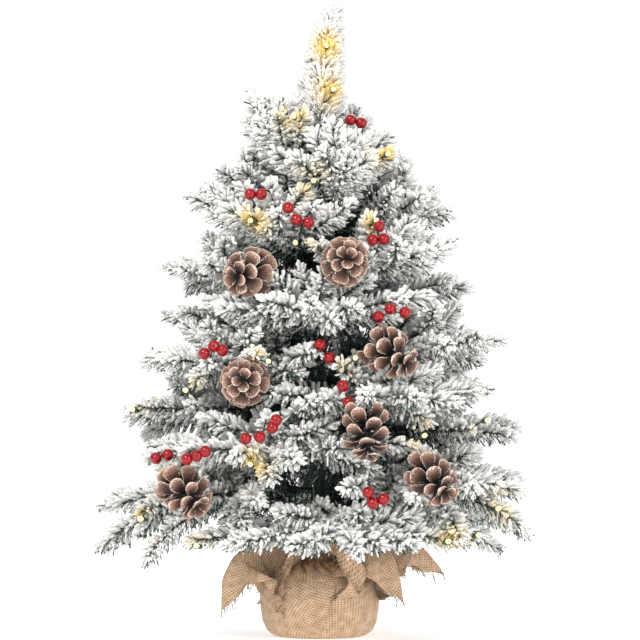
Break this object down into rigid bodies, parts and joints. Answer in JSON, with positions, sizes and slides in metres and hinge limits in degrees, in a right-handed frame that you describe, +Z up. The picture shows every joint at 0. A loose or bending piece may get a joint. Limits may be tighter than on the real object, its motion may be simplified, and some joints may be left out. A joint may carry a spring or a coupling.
{
  "type": "artificial tabletop tree",
  "caption": "Flocked artificial tabletop tree with pine cones, red berries and warm lights, standing in a burlap wrapped weight; its wired branches bend at the trunk.",
  "frame": {"origin": "middle of the flat underside of the burlap wrapped base", "axes": "+Z up along the trunk, -Y towards the front of the tree, +X to the right as seen from the front"},
  "size_m": [0.39, 0.4054, 0.6004],
  "materials": {
    "flocked_needles": "matte white flock over dark green needles",
    "cone_scale": "dry brown scales with frosted tips",
    "berry_red": "high gloss red lacquer",
    "cast_cement": "cast, rough",
    "burlap": "coarse plain jute weave",
    "twine": "twisted jute",
    "trunk_steel": "drawn wire rod",
    "trunk_tape": "matte green tape winding",
    "light_wire": "satin green insulation",
    "lamp_lens": "clear warm white lens, lit"
  },
  "bodies": {
    "stand": {"base_weight": "cast_cement", "burlap_wrap": "burlap", "light_string": "light_wire", "neck_tie": "twine", "trunk_rod": "trunk_steel", "trunk_tape": "trunk_tape"},
    "branch_01": {"berry_spray_11": "berry_red", "branch_01": "flocked_needles"},
    "branch_02": {"branch_02": "flocked_needles", "pine_cone_10": "cone_scale"},
    "branch_03": {"branch_03": "flocked_needles"},
    "branch_04": {"branch_04": "flocked_needles", "pine_cone_06": "cone_scale"},
    "branch_05": {"berry_spray_15": "berry_red", "branch_05": "flocked_needles", "pine_cone_09": "cone_scale"},
    "branch_06": {"berry_spray_08": "berry_red", "berry_spray_09": "berry_red", "berry_spray_10": "berry_red", "branch_06": "flocked_needles", "pine_cone_07": "cone_scale"},
    "branch_07": {"branch_07": "flocked_needles"},
    "branch_08": {"branch_08": "flocked_needles"},
    "branch_09": {"berry_spray_07": "berry_red", "branch_09": "flocked_needles", "pine_cone_04": "cone_scale", "pine_cone_05": "cone_scale"},
    "branch_10": {"berry_spray_14": "berry_red", "branch_10": "flocked_needles", "pine_cone_08": "cone_scale"},
    "branch_11": {"berry_spray_06": "berry_red", "branch_11": "flocked_needles", "pine_cone_03": "cone_scale"},
    "branch_12": {"branch_12": "flocked_needles"},
    "branch_13": {"branch_13": "flocked_needles"},
    "branch_14": {"berry_spray_04": "berry_red", "berry_spray_05": "berry_red", "branch_14": "flocked_needles", "pine_cone_01": "cone_scale", "pine_cone_02": "cone_scale"},
    "branch_15": {"branch_15": "flocked_needles"},
    "branch_16": {"branch_16": "flocked_needles"},
    "branch_17": {"berry_spray_03": "berry_red", "branch_17": "flocked_needles"},
    "branch_18": {"berry_spray_13": "berry_red", "branch_18": "flocked_needles"},
    "branch_19": {"berry_spray_01": "berry_red", "berry_spray_02": "berry_red", "branch_19": "flocked_needles"},
    "branch_20": {"branch_20": "flocked_needles"},
    "branch_21": {"branch_21": "flocked_needles"},
    "branch_22": {"berry_spray_12": "berry_red", "branch_22": "flocked_needles"},
    "branch_23": {"branch_23": "flocked_needles"},
    "branch_24": {"branch_24": "flocked_needles"},
    "leader": {"leader_tip": "flocked_needles"}
  },
  "joints": [
    {"name": "branch_01_bend", "type": "hinge", "parent": "stand", "child": "branch_01", "pos_m": [0.00129, -0.00789, 0.112], "axis": [-0.9868, -0.1619, 0], "range_deg": [-20, 5]},
    {"name": "branch_02_bend", "type": "hinge", "parent": "stand", "child": "branch_02", "pos_m": [0.00438, 0.0067, 0.12574], "axis": [0.837, -0.5472, 0], "range_deg": [-20, 22]},
    {"name": "branch_03_bend", "type": "hinge", "parent": "stand", "child": "branch_03", "pos_m": [-0.00775, -0.00198, 0.13948], "axis": [-0.2475, 0.9689, 0], "range_deg": [-20, 22]},
    {"name": "branch_04_bend", "type": "hinge", "parent": "stand", "child": "branch_04", "pos_m": [0.00705, -0.00378, 0.15322], "axis": [-0.4719, -0.8816, 0], "range_deg": [-18, 18]},
    {"name": "branch_05_bend", "type": "hinge", "parent": "stand", "child": "branch_05", "pos_m": [-0.00265, 0.00755, 0.16696], "axis": [0.9435, 0.3313, 0], "range_deg": [-20, 21]},
    {"name": "branch_06_bend", "type": "hinge", "parent": "stand", "child": "branch_06", "pos_m": [-0.00314, -0.00736, 0.1807], "axis": [-0.9195, 0.393, 0], "range_deg": [-20, 10]},
    {"name": "branch_07_bend", "type": "hinge", "parent": "stand", "child": "branch_07", "pos_m": [0.00729, 0.0033, 0.19443], "axis": [0.4125, -0.9109, 0], "range_deg": [-20, 24]},
    {"name": "branch_08_bend", "type": "hinge", "parent": "stand", "child": "branch_08", "pos_m": [-0.0076, 0.00249, 0.20817], "axis": [0.3111, 0.9504, 0], "range_deg": [-20, 24]},
    {"name": "branch_09_bend", "type": "hinge", "parent": "stand", "child": "branch_09", "pos_m": [0.00392, -0.00697, 0.22191], "axis": [-0.8714, -0.4906, 0], "range_deg": [-5, 3]},
    {"name": "branch_10_bend", "type": "hinge", "parent": "stand", "child": "branch_10", "pos_m": [0.00181, 0.00779, 0.23565], "axis": [0.9739, -0.2269, 0], "range_deg": [-20, 8]},
    {"name": "branch_11_bend", "type": "hinge", "parent": "stand", "child": "branch_11", "pos_m": [-0.0066, -0.00452, 0.24939], "axis": [-0.5649, 0.8252, 0], "range_deg": [-6, 16]},
    {"name": "branch_12_bend", "type": "hinge", "parent": "stand", "child": "branch_12", "pos_m": [0.00792, -0.00113, 0.26313], "axis": [-0.1408, -0.99, 0], "range_deg": [-20, 24]},
    {"name": "branch_13_bend", "type": "hinge", "parent": "stand", "child": "branch_13", "pos_m": [-0.00508, 0.00618, 0.27687], "axis": [0.7726, 0.6349, 0], "range_deg": [-20, 24]},
    {"name": "branch_14_bend", "type": "hinge", "parent": "stand", "child": "branch_14", "pos_m": [-0.00043, -0.00799, 0.29061], "axis": [-0.9986, 0.0537, 0], "range_deg": [-6, 13]},
    {"name": "branch_15_bend", "type": "hinge", "parent": "stand", "child": "branch_15", "pos_m": [0.00571, 0.0056, 0.30435], "axis": [0.7, -0.7141, 0], "range_deg": [-20, 24]},
    {"name": "branch_16_bend", "type": "hinge", "parent": "stand", "child": "branch_16", "pos_m": [-0.008, -0.00027, 0.31809], "axis": [-0.0338, 0.9994, 0], "range_deg": [-20, 24]},
    {"name": "branch_17_bend", "type": "hinge", "parent": "stand", "child": "branch_17", "pos_m": [0.00608, -0.0052, 0.33183], "axis": [-0.6502, -0.7598, 0], "range_deg": [-20, 24]},
    {"name": "branch_18_bend", "type": "hinge", "parent": "stand", "child": "branch_18", "pos_m": [-0.00097, 0.00794, 0.34557], "axis": [0.9926, 0.121, 0], "range_deg": [-20, 24]},
    {"name": "branch_19_bend", "type": "hinge", "parent": "stand", "child": "branch_19", "pos_m": [-0.00465, -0.00651, 0.3593], "axis": [-0.8137, 0.5813, 0], "range_deg": [-16, 24]},
    {"name": "branch_20_bend", "type": "hinge", "parent": "stand", "child": "branch_20", "pos_m": [0.00783, 0.00166, 0.37304], "axis": [0.2074, -0.9783, 0], "range_deg": [-20, 24]},
    {"name": "branch_21_bend", "type": "hinge", "parent": "stand", "child": "branch_21", "pos_m": [-0.00689, 0.00406, 0.38678], "axis": [0.5079, 0.8614, 0], "range_deg": [-20, 24]},
    {"name": "branch_22_bend", "type": "hinge", "parent": "stand", "child": "branch_22", "pos_m": [0.00234, -0.00765, 0.40052], "axis": [-0.9564, -0.2921, 0], "range_deg": [-20, 18]},
    {"name": "branch_23_bend", "type": "hinge", "parent": "stand", "child": "branch_23", "pos_m": [0.00345, 0.00722, 0.41426], "axis": [0.9025, -0.4306, 0], "range_deg": [-20, 24]},
    {"name": "branch_24_bend", "type": "hinge", "parent": "stand", "child": "branch_24", "pos_m": [-0.00742, -0.003, 0.428], "axis": [-0.3746, 0.9272, 0], "range_deg": [-20, 24]},
    {"name": "leader_bend", "type": "hinge", "parent": "stand", "child": "leader", "pos_m": [0, 0, 0.456], "axis": [0, 1, 0], "range_deg": [-15, 15]}
  ]
}
